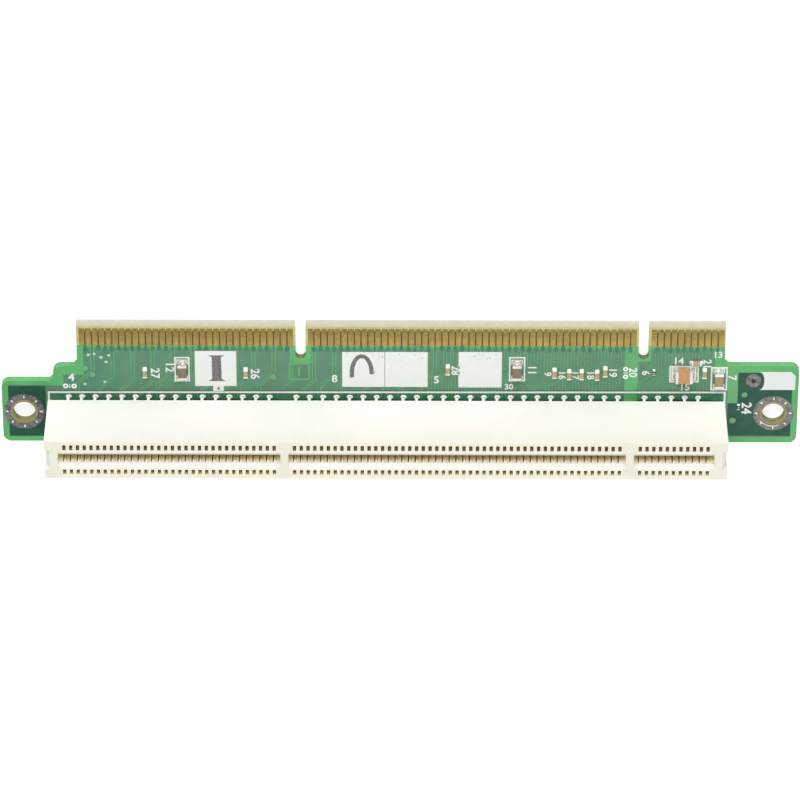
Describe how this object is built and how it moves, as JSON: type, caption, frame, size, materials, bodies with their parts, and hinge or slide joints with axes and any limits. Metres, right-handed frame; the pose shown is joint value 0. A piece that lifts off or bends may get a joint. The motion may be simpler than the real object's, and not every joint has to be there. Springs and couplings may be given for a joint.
{
  "type": "riser card",
  "caption": "Slim riser card: a green circuit board with a keyed gold card edge, screw holes in its end tabs, and one long keyed slot connector standing on its face.",
  "frame": {"origin": "bottom centre of the bounding box, on the floor under the soldered tails, with the card lying on its back", "axes": "+Z out of the board's face, the way a card leaves the slot; -Y towards the gold card edge; +X towards the end with the stepped tab"},
  "size_m": [0.151, 0.0264, 0.0194],
  "materials": {
    "laminate": "green solder mask over glass laminate",
    "housing": "moulded ivory plastic, fine matte",
    "gold": "gold plated copper",
    "contact_alloy": "gold flashed spring alloy",
    "solder": "bright tin solder",
    "capacitor_ceramic": "fired brown ceramic",
    "resistor": "black glazed film"
  },
  "bodies": {
    "root": {"circuit_board": "laminate", "connector_housing": "housing", "small_capacitors": "capacitor_ceramic", "small_resistors": "resistor", "front_fingers_a": "gold", "front_fingers_b": "gold", "front_fingers_c": "gold", "back_fingers_a": "gold", "back_fingers_b": "gold", "back_fingers_c": "gold", "edge_side_outer_contacts": "contact_alloy", "edge_side_inner_contacts": "contact_alloy", "rear_side_outer_contacts": "contact_alloy", "rear_side_inner_contacts": "contact_alloy", "edge_side_outer_solder": "solder", "edge_side_inner_solder": "solder", "rear_side_outer_solder": "solder", "rear_side_inner_solder": "solder", "capacitor_1_ends": "solder", "capacitor_2_ends": "solder", "capacitor_3_ends": "solder", "wide_capacitor_ends": "solder", "capacitor_1_body": "capacitor_ceramic", "capacitor_2_body": "capacitor_ceramic", "capacitor_3_body": "capacitor_ceramic", "wide_capacitor_body": "capacitor_ceramic"}
  },
  "joints": []
}
